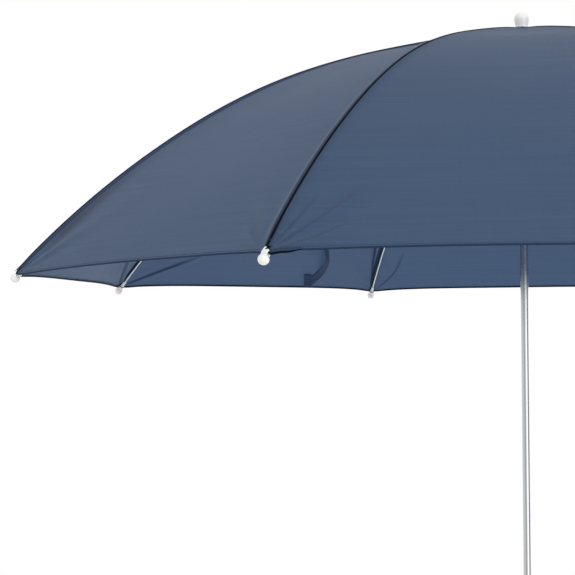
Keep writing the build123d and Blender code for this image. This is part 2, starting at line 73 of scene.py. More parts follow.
# The open rib is three tangent arcs: slope in, slope out (degrees below level), length.
RIB_ARCS = ((7.5, 15.0, 0.331), (15.0, 33.5, 0.401), (33.5, 47.5, 0.411))
RIM = sum(arc[2] for arc in RIB_ARCS)
CLOTH_TO_ROD = 0.005
BALL_RADIUS = 0.0088
BALL_PAST_CORNER = 0.0135
HINGE_LENGTH = 0.015
HINGE_DEPTH = 0.010
CROWN_RADIUS = 0.022

SAG = 0.004
SLACK = 0.0011
FAN_HEIGHT = 0.0016
FAN_REACH = 0.070
SCALLOP = 0.002
CORNER_PULL = 0.009
CORNER_REACH = 0.060
CORNER_TAIL = 0.005
CROWN_SAG = 0.0070
CROWN_SETTLE = 0.0018
CROWN_DIP_AT = 0.21
CROWN_DIP_SPAN = 0.13
SEAM_RISE = 0.0022
SEAM_RISE_REACH = 0.010
RIM_ZONE = 0.26

SEAM_WIDTH = 0.0115
# This rib's ridge line stands prouder, and the panel after it has painted shade along the rib: how dark,
# how far from the rib, how wide, and the lengths where it starts, is full and ends.
RIDGE_RIB = 5
RIDGE_LIFT = 1.9
VALLEY_SHADE = 0.70
VALLEY_ASIDE = 0.031
VALLEY_WIDTH = 0.024
VALLEY_RUN = (0.76, 1.02, 1.10)
# Panels with a painted highlight line where the cloth rolls over the seam at their next rib.
ROLL_HIGHLIGHT_PANELS = (1, 5, 7)
ROLL_HIGHLIGHT_ASIDE = SEAM_WIDTH + 0.0040
ROLL_HIGHLIGHT_WIDTH = 0.0038
HEM_HEIGHT = 0.0033
HEM_THICKNESS = 0.0022
HEM_INWARD = 0.0008
HEAVY_HEMS = (2, 3, 4)
HEAVY_HEM = 1.35
HEM_STITCH_UP = 0.0055
TUCK_RIB = 6
STITCH_PITCH = 0.0046
STITCH_LENGTH = 0.0034
THREAD_RADIUS = 0.00035

# Creases run out from a corner: panel, which of its ribs, angles from the rib at the corner and
# at the far end (degrees), length, depth, width, and how dark the painted shade on the fold is.
CREASES = (
    (4, -1, 50, 48, 0.170, 0.0016, 0.0050, 0.85),
    (3, 1, 61, 59, 0.215, -0.0014, 0.0030, 1.0),
    (3, -1, 13, 8, 0.300, -0.0012, 0.0072, 1.0),
    (2, 1, 52, 22, 0.160, -0.0008, 0.0036, 0.65),
    (2, -1, 38, 12, 0.190, 0.0012, 0.0040, 0.5),
    (6, -1, 72, 60, 0.150, 0.0012, 0.0050, 0.5),
    (6, -1, 42, 34, 0.210, 0.0012, 0.0060, 0.35),
    (6, -1, 20, 16, 0.150, 0.0010, 0.0050, 0.35),
    (5, 1, 62, 50, 0.120, 0.0008, 0.0055, 0.15),
    (7, -1, 48, 36, 0.200, 0.0012, 0.0055, 0.35),
    (7, 1, 14, 9, 0.230, 0.0014, 0.0045, 0.7),
    (8, 1, 60, 46, 0.190, 0.0013, 0.0055, 0.4),
    (8, -1, 52, 44, 0.210, 0.0013, 0.0045, 0.6),
    (1, -1, 44, 30, 0.170, 0.0012, 0.0050, 0.5),
    (1, 1, 13, 8, 0.240, 0.0014, 0.0050, 0.7),
    (5, -1, 58, 44, 0.120, 0.0007, 0.0055, 0.15),
    (4, 1, 56, 40, 0.180, 0.0009, 0.0050, 0.25),
)
# How much lower some panels' rims hang near their first and their next rib; a minus lifts them.
RIM_DROP = {5: (0.0105, 0.0020), 4: (0.0060, 0.0125), 3: (-0.0015, 0.0040), 6: (0.0015, 0.0)}
rng = np.random.default_rng(8)
PANEL_PHASES = rng.uniform(0, 2 * math.pi, (RIBS + 1, 8))


# ---- canopy surface ----
def walk(length):
    """Radius, drop and slope of the rib's cloth line at a length from the apex."""
    rest = np.array(length, float)
    radius = np.zeros_like(rest)
    drop = np.zeros_like(rest)
    slope = np.full_like(rest, math.radians(RIB_ARCS[0][0]))
    for slope_in, slope_out, arc in RIB_ARCS:
        part = np.clip(rest, 0, arc)
        half_turn = math.radians(slope_out - slope_in) * part / arc / 2
        chord = part * np.sinc(half_turn / math.pi)
        mean = math.radians(slope_in) + half_turn
        radius += chord * np.cos(mean)
        drop += chord * np.sin(mean)
        slope = np.where(rest > 0, mean + half_turn, slope)
        rest = rest - arc
    beyond = np.clip(rest, 0, None)
    return radius + beyond * np.cos(slope), drop + beyond * np.sin(slope), slope


def half_width(length):
    """Half the width of a panel at a length from the apex."""
    return walk(length)[0] * math.sin(HALF)


def off_rib(across, length):
    """Distance to the nearer rib of a panel."""
    return np.clip(1 - np.abs(across), 0, None) * half_width(length)


def hinge_drop():
    """Drop from the apex to the wire that the ribs turn on."""
    _, drop, slope = walk(HINGE_LENGTH)
    return float(drop + HINGE_DEPTH * np.cos(slope))


wire_low, wire_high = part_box("notch_wire")
APEX = (wire_low.z + wire_high.z) / 2 + hinge_drop()


def smooth(value, low, high):
    """Rises smoothly from 0 at low to 1 at high."""
    t = np.clip((value - low) / (high - low), 0, 1)
    return t * t * (3 - 2 * t)


def corner_fan(rho, theta, phase):
    """Fine folds that spread from a corner, where the tip pulls on the cloth."""
    strength = FAN_HEIGHT * (rho / FAN_REACH) * np.exp(1 - rho / FAN_REACH) * np.sin(2 * theta) ** 2
    return strength * np.sin(9 * theta + phase + 4 * rho)


def crease(rho, theta, first, last, reach, depth, width):
    """Height of one fold that runs out from a corner, low on one side and high on the other."""
    middle = np.radians(first + (last - first) * smooth(rho, 0, reach))
    off = (theta - middle) * rho
    fade = smooth(rho, 0.004, 0.03) * (1 - smooth(rho, 0.6 * reach, reach))
    return 2.2 * depth * fade * np.tanh(off / width) * np.exp(-((off / (4 * width)) ** 2))


def corner_polar(across, length, side):
    """Distance from a panel's corner, and the angle there from its rib."""
    aside = np.clip(1 - side * across, 0, None) * half_width(length)
    up = np.clip(RIM - length, 0, None)
    return np.hypot(up, aside) + 1e-6, np.arctan2(aside, up + 1e-6)


def painted_shade_and_highlight(panel, across, length):
    """Painted shade in the creases and along the valley, and a painted highlight where the cloth rolls
    over a seam.
    """
    dark = np.zeros(np.broadcast(across, length).shape)
    for where, side, first, last, reach, _, width, shade in CREASES:
        if where == panel:
            rho, theta = corner_polar(across, length, side)
            middle = np.radians(first + (last - first) * smooth(rho, 0, reach))
            fade = smooth(rho, 0.012, 0.03) * (1 - smooth(rho, 0.5 * reach, reach))
            line = 0.42 * width * (1 + rho / 0.15)
            dark = np.maximum(dark, shade * fade * np.exp(-(((theta - middle) * rho / line) ** 2)))
    # Painted shade along the ridge rib's panel, as if in a valley.
    if panel == RIDGE_RIB:
        aside = np.clip(1 + across, 0, None) * half_width(length)
        start, full, end = VALLEY_RUN
        valley = VALLEY_SHADE * smooth(length, start, full) * (1 - smooth(length, full, end))
        dark = np.maximum(dark, valley * np.exp(-(((aside - VALLEY_ASIDE) / VALLEY_WIDTH) ** 2)))
    # Painted highlight where the cloth rolls over the seam at the panel's next rib.
    light = np.zeros_like(dark)
    if panel in ROLL_HIGHLIGHT_PANELS:
        edge = np.exp(-(((off_rib(across, length) - ROLL_HIGHLIGHT_ASIDE) / ROLL_HIGHLIGHT_WIDTH) ** 2))
        fade = smooth(length, 0.25, 0.6) * (1 - smooth(length, RIM - 0.05, RIM - 0.01))
        light = (across > 0) * edge * fade
    return dark, light


def relief(panel, across, length):
    """Height of the cloth above the plain panel."""
    free = 1 - across**2
    along = np.clip((length - 0.02) / (RIM - 0.02), 0, 1)
    height = -SAG * free * np.sin(math.pi * along) ** 2
    crown = np.exp(-(((length - CROWN_DIP_AT) / CROWN_DIP_SPAN) ** 2))
    height -= crown * (CROWN_SAG * free + CROWN_SETTLE)
    by_seam = np.exp(-((off_rib(across, length) / SEAM_RISE_REACH) ** 2))
    height += SEAM_RISE * smooth(along, 0.3, 0.5) * by_seam
    phases = PANEL_PHASES[panel]
    for n in range(4):
        wave = np.sin((2 + 1.7 * n) * across + phases[n]) * np.sin((9 + 5 * n) * along + phases[n + 4])
        height += SLACK / (1 + n) * free * smooth(along, 0.05, 0.5) * wave
    for side in (-1, 1):
        rho, theta = corner_polar(across, length, side)
        height += corner_fan(rho, theta, phases[3 + side])
    for where, side, first, last, reach, depth, width, _ in CREASES:
        if where == panel:
            rho, theta = corner_polar(across, length, side)
            height += crease(rho, theta, first, last, reach, depth, width)
    return height


def rim_lift(panel, across, length):
    """How far the rim is drawn up between the corners."""
    aside = off_rib(across, length)
    lift = SCALLOP * (1 - across**2) + CORNER_PULL * (1 - np.exp(-aside / CORNER_REACH)) - CORNER_TAIL
    first, last = RIM_DROP.get(panel, (0.0, 0.0))
    drop = first + (last - first) * (1 + across) / 2
    return lift - drop * (1 - np.exp(-aside / 0.012))


def panel_points(panel, across, length):
    """Points of a panel's cloth, at its angle round the pole."""
    lifted = length - rim_lift(panel, across, length) * smooth(length, RIM - RIM_ZONE, RIM)
    radius, drop, slope = walk(lifted)
    tilt = np.arctan2(np.sin(slope), np.cos(slope) * math.cos(HALF))
    height = relief(panel, across, length)
    x = radius * math.cos(HALF) + height * np.sin(tilt)
    y = across * radius * math.sin(HALF)
    z = APEX - drop + height * np.cos(tilt)
    turn = 2 * HALF * panel
    ahead = x * math.cos(turn) - y * math.sin(turn)
    aside = x * math.sin(turn) + y * math.cos(turn)
    return np.stack([ahead, aside, z], -1)


def unit(vectors):
    return vectors / (np.linalg.norm(vectors, axis=-1, keepdims=True) + 1e-12)


def surface(panel, across, length):
    """Points, outward normals and downhill directions of a panel.

    Across is -1 at the panel's first rib and 1 at the next.
    """
    across, length = np.broadcast_arrays(np.asarray(across, float), np.asarray(length, float))
    step = 0.0015
    over = step / half_width(length)
    side = panel_points(panel, across + over, length) - panel_points(panel, across - over, length)
    down = panel_points(panel, across, length + step) - panel_points(panel, across, length - step)
    return panel_points(panel, across, length), unit(np.cross(down, side)), unit(down)


def rib_angle(rib):
    """Angle of a rib round the pole."""
    return HALF + (rib - 1) * 2 * HALF


def beside_rib(rib, aside, length):
    """Surface beside a rib; a positive aside is towards the next rib."""
    aside = np.asarray(aside, float)
    share = np.abs(aside) / half_width(length)
    ahead = surface(rib, -1 + share, length)
    behind = surface((rib - 2) % RIBS + 1, 1 - share, length)
    pick = (aside >= 0)[..., None]
    return [np.where(pick, a, b) for a, b in zip(ahead, behind)]


# ---- meshes ----
def new_object(name, verts, faces, materials, face_materials=None, flat=False):
    """A mesh object in the scene, its faces smooth unless flat."""
    mesh = bpy.data.meshes.new(name)
    mesh.from_pydata([tuple(v) for v in np.asarray(verts, float)], [], [tuple(f) for f in faces])
    for m in materials:
        mesh.materials.append(m)
    if face_materials is not None:
        mesh.polygons.foreach_set("material_index", np.asarray(face_materials, np.int32))
    mesh.polygons.foreach_set("use_smooth", np.full(len(mesh.polygons), not flat))
    mesh.update()
    made = bpy.data.objects.new(name, mesh)
    bpy.context.scene.collection.objects.link(made)
    return made


def grid_faces(rows, columns, closed=False, start=0):
    """Quads of a grid of points, its columns joined round when closed."""
    faces = []
    for i in range(rows - 1):
        for j in range(columns if closed else columns - 1):
            k = (j + 1) % columns
            row, below = start + i * columns, start + (i + 1) * columns
            faces.append((row + j, below + j, below + k, row + k))
    return faces


def tube_of(name, rings, materials, pick=None):
    """A closed skin over rings of points, with its ends capped; pick chooses each column's material."""
    rows, columns = rings.shape[:2]
    faces = grid_faces(rows, columns, closed=True)
    kinds = [pick(j) if pick else 0 for _ in range(rows - 1) for j in range(columns)]
    faces += [tuple(range(columns)), tuple(range(rows * columns - 1, (rows - 1) * columns - 1, -1))]
    kinds += [0, 0]
    return new_object(name, rings.reshape(-1, 3), faces, materials, kinds)


def lathe(name, profile, origin, axis, materials, segments):
    """A body of revolution: profile points are (distance along the axis, radius)."""
    axis = unit(np.array(axis, float))
    helper = np.array([0, 0, 1.0]) if abs(axis[2]) < 0.9 else np.array([1.0, 0, 0])
    first = unit(np.cross(axis, helper))
    second = np.cross(axis, first)
    angles = np.linspace(0, 2 * math.pi, segments, endpoint=False)
    outward = np.outer(np.cos(angles), first) + np.outer(np.sin(angles), second)
    rings = np.array([np.array(origin) + axis * a + outward * max(r, 1e-5) for a, r in profile])
    return tube_of(name, rings, materials)


def arc_profile(centre, radius, first, last, count):
    """Profile points of a round stretch, its angles in degrees from the axis."""
    turns = np.radians(np.linspace(first, last, count))
    return [(centre + radius * math.cos(t), radius * math.sin(t)) for t in turns]


def along_line(at, reach, values):
    """Values of a line of points at distances along it."""
    return np.stack([np.interp(at, reach, values[:, i]) for i in range(3)], -1)


def stitches(name, points, normals, materials):
    """A row of short raised threads along a line of points."""
    steps = np.linalg.norm(np.diff(points, axis=0), axis=1)
    reach = np.concatenate([[0], np.cumsum(steps)])
    starts = np.arange(0.002, reach[-1] - STITCH_PITCH, STITCH_PITCH)
    shares = np.array([0.0, 0.3, 0.7, 1.0])
    lifts = np.array([-0.2, 0.8, 0.8, -0.2]) * THREAD_RADIUS
    girth = np.array([0.5, 1.0, 1.0, 0.5]) * THREAD_RADIUS
    sides = 5
    ring_count = len(shares)
    at = (starts[:, None] + STITCH_LENGTH * shares).ravel()
    place = along_line(at, reach, points)
    up = unit(along_line(at, reach, normals))
    ahead = unit(along_line(at + 1e-3, reach, points) - place + 1e-9)
    aside = unit(np.cross(up, ahead))
    centre = place + up * np.tile(lifts, len(starts))[:, None]
    turns = np.linspace(0, 2 * math.pi, sides, endpoint=False)
    size = np.tile(girth, len(starts))[:, None, None]
    rings = centre[:, None] + size * (
        np.cos(turns)[None, :, None] * aside[:, None] + np.sin(turns)[None, :, None] * up[:, None]
    )
    faces = []
    for n in range(len(starts)):
        first = n * ring_count * sides
        end = first + ring_count * sides - 1
        faces += grid_faces(ring_count, sides, closed=True, start=first)
        faces += [tuple(range(first, first + sides)), tuple(range(end, end - sides, -1))]
    return new_object(name, rings.reshape(-1, 3), faces, materials)


# ---- materials ----
def colour4(rgb):
    return (*rgb, 1.0)


def grey(value):
    return (value,) * 3


class NodeTree:
    """The nodes of a material or a world."""

    def __init__(self, owner):
        self.made = owner
        self.made.use_nodes = True
        self.tree = owner.node_tree

    def node(self, kind, **values):
        """A new node; each value sets the input, or else the setting, of its name."""
        made = self.tree.nodes.new(kind)
        for key, value in values.items():
            socket = key.replace("_", " ")
            if socket in made.inputs:
                made.inputs[socket].default_value = value
            else:
                setattr(made, key, value)
        return made

    def link(self, source, target):
        self.tree.links.new(source, target)

    def ramp(self, source, stops):
        """A colour ramp of (position, colour) stops."""
        made = self.node("ShaderNodeValToRGB")
        elements = made.color_ramp.elements
        while len(elements) < len(stops):
            elements.new(0.5)
        for element, (position, colour) in zip(elements, stops):
            element.position = position
            element.color = colour4(colour)
        self.link(source, made.inputs["Fac"])
        return made.outputs["Color"]


class Look(NodeTree):
    """A node material around one Principled shader."""

    def __init__(self, name, colour, roughness, metallic=0.0, **sockets):
        super().__init__(bpy.data.materials.new(name))
        self.shader = next(n for n in self.tree.nodes if n.type == "BSDF_PRINCIPLED")
        self.output = next(n for n in self.tree.nodes if n.type == "OUTPUT_MATERIAL")
        self.colour = colour
        self.shader.inputs["Base Color"].default_value = colour4(colour)
        self.shader.inputs["Roughness"].default_value = roughness
        self.shader.inputs["Metallic"].default_value = metallic
        for socket, value in sockets.items():
            self.shader.inputs[socket.replace("_", " ")].default_value = value
        self.height = None
        self.tint = None

    def place(self, stretch=(1, 1, 1), uv=None):
        """Object or UV coordinates, stretched."""
        if uv:
            source = self.node("ShaderNodeUVMap", uv_map=uv).outputs["UV"]
        else:
            source = self.node("ShaderNodeTexCoord").outputs["Object"]
        mapping = self.node("ShaderNodeMapping", Scale=stretch)
        self.link(source, mapping.inputs["Vector"])
        return mapping.outputs["Vector"]

    def noise(self, scale, detail=3.0, rough=0.5, stretch=(1, 1, 1), uv=None):
        made = self.node("ShaderNodeTexNoise", Scale=scale, Detail=detail, Roughness=rough)
        self.link(self.place(stretch, uv), made.inputs["Vector"])
        return made.outputs["Fac"]

    def paint(self, source, dark, light, low=0.3, high=0.7):
        """Multiplies the colour by a factor that runs from dark to light with the source."""
        shade = self.ramp(source, ((low, grey(dark)), (high, grey(light))))
        mix = self.node("ShaderNodeMix", data_type="RGBA", blend_type="MULTIPLY", Factor=1.0)
        if self.tint is None:
            mix.inputs[6].default_value = colour4(self.colour)
        else:
            self.link(self.tint, mix.inputs[6])
        self.link(shade, mix.inputs[7])
        self.tint = mix.outputs[2]
        self.link(self.tint, self.shader.inputs["Base Color"])
        return self

    def blend(self, source, colour, most):
        """Mixes another colour in, by at most a share, where the source is high."""
        share = self.node("ShaderNodeMath", operation="MULTIPLY")
        share.inputs[1].default_value = most
        self.link(source, share.inputs[0])
        mix = self.node("ShaderNodeMix", data_type="RGBA")
        self.link(share.outputs["Value"], mix.inputs["Factor"])
        self.link(self.tint, mix.inputs[6])
        mix.inputs[7].default_value = colour4(colour)
        self.tint = mix.outputs[2]
        self.link(self.tint, self.shader.inputs["Base Color"])
        return self

    def vary_roughness(self, source, low, high):
        """Runs the roughness from low to high with the source."""
        spread = self.node("ShaderNodeMapRange", From_Min=0.3, From_Max=0.7, To_Min=low, To_Max=high)
        self.link(source, spread.inputs["Value"])
        self.link(spread.outputs["Result"], self.shader.inputs["Roughness"])
        return self

    def bump(self, source, distance, strength=1.0):
        """Adds a bump of the source's height, in metres, to those before it."""
        made = self.node("ShaderNodeBump", Distance=distance, Strength=strength)
        self.link(source, made.inputs["Height"])
        if self.height is not None:
            self.link(self.height, made.inputs["Normal"])
        self.height = made.outputs["Normal"]
        self.link(self.height, self.shader.inputs["Normal"])
        return self

    def let_through(self, colour, shade, amount):
        """Lets a share of the light through, coloured and then shaded."""
        back = self.node("ShaderNodeBsdfTranslucent")
        tint = self.node("ShaderNodeMix", data_type="RGBA", blend_type="MULTIPLY", Factor=1.0)
        tint.inputs[6].default_value = colour4(colour)
        self.link(shade, tint.inputs[7])
        self.link(tint.outputs[2], back.inputs["Color"])
        mix = self.node("ShaderNodeMixShader", Fac=amount)
        self.link(self.shader.outputs["BSDF"], mix.inputs[1])
        self.link(back.outputs["BSDF"], mix.inputs[2])
        self.link(mix.outputs["Shader"], self.output.inputs["Surface"])


def cloth_look(name, colour, through=None, amount=0.0, gloss=0.34, sheen=0.07):
    """Woven polyester: fine weft lines, a weave bump, soft sheen, light that comes through, and the shade
    and highlight painted from a mesh's folds attribute.
    """
    look = Look(name, colour, 0.60, Sheen_Weight=sheen, Sheen_Roughness=0.5, Specular_IOR_Level=gloss)
    weft = look.noise(1.0, 2.0, 0.6, (2.2, 420.0, 1.0), "weave")
    warp = look.noise(1.0, 2.0, 0.6, (300.0, 5.0, 1.0), "weave")
    look.paint(weft, 0.74, 1.26)
    look.paint(look.noise(1.0, 2.0, 0.6, (1.4, 130.0, 1.0), "weave"), 0.90, 1.10)
    look.paint(warp, 0.95, 1.05)
    look.paint(look.noise(3.5, 2.0), 0.94, 1.06)
    # The folds attribute holds painted shade in red and a painted highlight in green, mixed into the
    # colour here.
    painted_light = look.node("ShaderNodeAttribute", attribute_name="folds")
    split = look.node("ShaderNodeSeparateColor")
    look.link(painted_light.outputs["Color"], split.inputs["Color"])
    look.blend(split.outputs["Red"], (0.003, 0.010, 0.034), 0.92)
    look.blend(split.outputs["Green"], (0.150, 0.158, 0.185), 0.75)
    thread = look.node("ShaderNodeTexBrick", offset=0.5, Scale=1.0, Mortar_Size=0.06,
                       Brick_Width=0.9, Row_Height=0.5)
    for socket, value in (("Color1", 1.0), ("Color2", 0.8), ("Mortar", 0.2)):
        thread.inputs[socket].default_value = colour4(grey(value))
    look.link(look.place((1000.0, 1000.0, 1.0), "weave"), thread.inputs["Vector"])
    look.bump(thread.outputs["Color"], 0.00012, 0.5)
    look.bump(weft, 0.0004, 0.4)
    if amount:
        # The painted shade also dims the light that comes through.
        shade = look.ramp(split.outputs["Red"], ((0.0, (1, 1, 1)), (1.0, (0.05, 0.08, 0.15))))
        look.let_through(through, shade, amount)
    return look.made


def plastic_look(name, colour, roughness, grain, depth, **sockets):
    """Moulded plastic, rubber or thread: an even colour, a fine grain and small differences in gloss."""
    look = Look(name, colour, roughness, **sockets)
    look.paint(look.noise(35.0, 2.0), 0.97, 1.02)
    look.vary_roughness(look.noise(60.0, 3.0), roughness - 0.05, roughness + 0.08)
    return look.bump(look.noise(grain, 4.0), depth).made


def metal_look(name, colour, roughness, stretch, spread=0.06):
    """Drawn or plated steel: faint lines along it, small differences in polish."""
    look = Look(name, colour, roughness, 1.0)
    lines = look.noise(1.0, 3.0, 0.6, stretch)
    look.paint(lines, 0.93, 1.04)
    look.vary_roughness(look.noise(18.0, 4.0), max(roughness - spread, 0.05), roughness + spread)
    return look.bump(lines, 0.00002, 0.4).made


NAVY = (0.0288, 0.0534, 0.1038)
CLOTH = cloth_look("canopy_cloth", NAVY, (0.094, 0.166, 0.312), 0.36)
# A near-black copy of the navy cloth: painted shade on the hem's inner half, the corner pockets and the
# hem's tuck; also the colour of the tip ties.
DARK_CLOTH = cloth_look("hem_cloth", (0.002, 0.004, 0.011), gloss=0.05, sheen=0.0)
HEM_CLOTH = cloth_look("hem_outside", (0.018, 0.036, 0.080), gloss=0.05, sheen=0.0)
# The felled seams' cloth: the canopy navy made darker as painted shade, with no light through it; also
# used for the crown round and the hem's thread.
SEAM_CLOTH = cloth_look("seam_cloth", (0.021, 0.039, 0.085), gloss=0.10, sheen=0.0)
# A lighter copy of the seam cloth for the ridge rib: painted light.
LIT_RIDGE_SEAM_CLOTH = cloth_look("ridge_seam_cloth", (0.031, 0.055, 0.115), gloss=0.10, sheen=0.0)
STRAP_CLOTH = cloth_look("strap_cloth", (0.024, 0.049, 0.108), gloss=0.12, sheen=0.03)
PATCH_CLOTH = cloth_look("patch_cloth", (0.021, 0.043, 0.098), gloss=0.10, sheen=0.02)
THREAD = plastic_look("sewing_thread", (0.055, 0.075, 0.115), 0.6, 900.0, 0.0001)
# Near-black: painted shade of the ridge fold along each rib, and the colour of the thread in each tip's
# hole.
GROOVE_SHADE_AND_THREAD = plastic_look("seam_groove", (0.003, 0.005, 0.010), 0.8, 600.0, 0.0001, Specular_IOR_Level=0.05)
WHITE = plastic_look("white_plastic", (0.86, 0.86, 0.84), 0.32, 700.0, 0.00003, Subsurface_Weight=0.15)
BLACK = plastic_look("black_plastic", (0.018, 0.018, 0.019), 0.45, 900.0, 0.00008)
RUBBER = plastic_look("rubber", (0.022, 0.022, 0.022), 0.75, 500.0, 0.00015)
CHROME = metal_look("pole_chrome", (0.56, 0.57, 0.585), 0.16, (900.0, 900.0, 6.0), 0.04)
ROD = metal_look("rod_steel", (0.80, 0.84, 0.88), 0.26, (260.0, 260.0, 260.0))
ZINC = metal_look("zinc_steel", (0.42, 0.43, 0.45), 0.36, (150.0, 150.0, 150.0), 0.1)
SPRING = metal_look("spring_steel", (0.38, 0.39, 0.41), 0.30, (300.0, 300.0, 300.0))


def concrete_look():
    """Cast concrete: cloudy, sandy, with small pores."""
    look = Look("concrete", (0.33, 0.325, 0.31), 0.88)
    look.paint(look.noise(7.0, 6.0, 0.6), 0.82, 1.12)
    look.paint(look.noise(160.0, 4.0, 0.6), 0.85, 1.12)
    pores = look.node("ShaderNodeTexVoronoi", Scale=95.0)
    look.link(look.place(), pores.inputs["Vector"])
    pits = look.ramp(pores.outputs["Distance"], ((0.10, (0, 0, 0)), (0.22, (1, 1, 1))))
    look.paint(pits, 0.6, 1.0, 0.2, 0.8)
    look.bump(pits, 0.0009, 0.7)
    look.bump(look.noise(260.0, 5.0, 0.6), 0.0006, 0.6)
    return look.made


def paint_look():
    """Grey powder coat, with its fine orange-peel and small differences in gloss."""
    look = Look("base_paint", (0.075, 0.078, 0.082), 0.5)
    look.paint(look.noise(12.0, 4.0), 0.9, 1.1)
    look.vary_roughness(look.noise(40.0, 3.0), 0.42, 0.6)
    return look.bump(look.noise(420.0, 2.0), 0.0002, 0.5).made


SLOT_LOOKS = {
    "concrete": concrete_look(),
    "rubber": RUBBER,
    "base_paint": paint_look(),
    "zinc_steel": ZINC,
    "black_plastic": BLACK,
    "pole_chrome": CHROME,
    "white_plastic": WHITE,
    "spring_steel": SPRING,
    "canopy_cloth": CLOTH,
    "rib_steel": ROD,
}


# ---- carried-over nodes ----
def dress_nodes():
    """Gives every carried-over node the look of its material slot."""
    for row in frame["record"]["subparts"]:
        for socket in frame["nodes"][row["node"]].material_slots:
            socket.material = SLOT_LOOKS[row["material_slot"]]


# ---- canopy pieces ----
def fold_with(piece, rib):
    """The piece rides on its rib, with a mesh of its own."""
    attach(piece, f"rib_{rib}")
    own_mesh(piece)


# The gores start at the crown radius, which the crown cloth covers.
START = 0.0
while walk(START)[0] < CROWN_RADIUS:
    START += 0.0005
ROWS = 181
COLUMNS = 69
row_share = np.linspace(0, 1, ROWS)
GORE_LENGTHS = START + (RIM - START) * (1.6 * row_share - 0.6 * row_share**2)
column_share = np.linspace(0, 1, COLUMNS)
GORE_SHARES = 0.5 * column_share + 0.5 * column_share**2


def gore_half(panel, towards_next):
    """Half a panel beside a rib, its columns from the rib to the panel's middle line."""
    across = (GORE_SHARES - 1) if towards_next else (1 - GORE_SHARES)
    points, normals, _ = surface(panel, across[None, :], GORE_LENGTHS[:, None])
    reach = half_width(GORE_LENGTHS)[:, None] * across[None, :]
    weave = np.stack([reach + panel, np.broadcast_to(GORE_LENGTHS[:, None], reach.shape)], -1)
    # Painted shade of the creases and valley, and the painted highlight beside the rolled seams.
    painted_light = painted_shade_and_highlight(panel, across[None, :], GORE_LENGTHS[:, None])
    return points, normals, weave, np.stack([*painted_light, 0 * painted_light[0], 0 * painted_light[0] + 1], -1)


def canopy_gore(rib):
    """The cloth that one rib carries: half of the panel on each side of it."""
    behind = gore_half((rib - 2) % RIBS + 1, False)
    ahead = gore_half(rib, True)
    points, normals, weave, painted_light = [
        np.concatenate([b[:, ::-1], a[:, 1:]], axis=1) for a, b in zip(ahead, behind)
    ]
    middle = COLUMNS - 1
    normals[:, middle] = unit(ahead[1][:, 0] + behind[1][:, 0])
    columns = 2 * COLUMNS - 1
    faces = grid_faces(ROWS, columns)
    piece = new_object(f"canopy_gore_{rib}", points.reshape(-1, 3), faces, [CLOTH])
    layer = piece.data.uv_layers.new(name="weave")
    loops = np.zeros(len(piece.data.loops), np.int32)
    piece.data.loops.foreach_get("vertex_index", loops)
    flat = weave.reshape(-1, 2)[loops]
    # The rib's column belongs to both panels, so each face takes its own panel's coordinates.
    first = np.repeat(np.array([f[0] % columns for f in faces]), 4)
    on_rib = (loops % columns == middle) & (first < middle)
    behind_rib = behind[2][:, 0]
    flat[on_rib] = behind_rib[loops[on_rib] // columns]
    layer.data.foreach_set("uv", flat.ravel())
    # The folds attribute carries the painted shade and highlight to the cloth material.
    folds = piece.data.color_attributes.new(name="folds", type="FLOAT_COLOR", domain="POINT")
    folds.data.foreach_set("color", painted_light.astype(np.float32).ravel())
    piece.data.normals_split_custom_set_from_vertices([tuple(n) for n in normals.reshape(-1, 3)])
    fold_with(piece, rib)
    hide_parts(f"gore_{rib}")
    return piece


def seam_side(rib):
    """Seams are felled towards every other panel, so ribs come in pairs."""
    return -1 if rib % 2 == 0 else 1


def seam_width(lengths):
    """Width of a felled seam, narrowed at the crown and at the corner."""
    room = np.minimum(SEAM_WIDTH, 0.75 * half_width(lengths))
    return room * (0.30 + 0.70 * smooth(RIM - lengths, 0.0, 0.07))


def along_rib(name, side, rings, materials):
    """A skin over lines that run along a rib, its faces outward on either side of it."""
    rings = np.stack(rings, 1)
    return tube_of(name, rings if side > 0 else rings[:, ::-1], materials)


def rib_seam(rib):
    """The felled seam along a rib: a raised strip on one side."""
    lengths = np.linspace(START + 0.004, RIM - 0.006, 150)
    side = seam_side(rib)
    room = seam_width(lengths)
    # Share of the seam's width, height over the cloth.
    strip = ((0.06, 0.0004), (0.14, 0.0010), (0.5, 0.0011), (0.90, 0.0010), (1.0, 0.0003),
             (1.0, -0.0008), (0.9, -0.0014), (0.14, -0.0014), (0.06, -0.0008))
    rings = []
    for share, lift in strip:
        points, normals, _ = beside_rib(rib, side * share * room, lengths)
        rings.append(points + normals * lift)
    # The ridge rib's seam takes the lighter copy of the seam cloth, painted light.
    return along_rib(f"rib_seam_{rib}", side, rings, [LIT_RIDGE_SEAM_CLOTH if rib == RIDGE_RIB else SEAM_CLOTH])


def seam_line(rib):
    """A near-black line along the ridge, where the two panels meet: painted shade of the fold between
    them.
    """
    lengths = np.linspace(START + 0.004, RIM - 0.002, 150)
    side = seam_side(rib)
    proud = RIDGE_LIFT if rib == RIDGE_RIB else 1.0
    outline = ((-0.0012, 0.0001), (-0.0005, 0.0013), (0.0005, 0.0013), (0.0012, 0.0001), (0.0, -0.0010))
    rings = []
    for aside, lift in outline:
        points, normals, _ = beside_rib(rib, side * aside + 0 * lengths, lengths)
        rings.append(points + normals * lift * proud)
    return along_rib(f"seam_line_{rib}", side, rings, [GROOVE_SHADE_AND_THREAD])


def seam_stitches(rib):
    """The thread near the felled seam's free edge."""
    lengths = np.linspace(START + 0.006, RIM - 0.012, 240)
    points, normals, _ = beside_rib(rib, seam_side(rib) * 0.84 * seam_width(lengths), lengths)
    return stitches(f"seam_stitches_{rib}", points + normals * 0.0012, normals, [THREAD])


def rim_line(rib, count, up=0.0):
    """Points, normals and downhill directions along one gore's rim, between its middle lines."""
    share = np.linspace(-1, 1, count)
    aside = np.sign(share) * np.abs(share) ** 1.4 * half_width(RIM)
    return beside_rib(rib, aside, np.full(count, RIM - up))


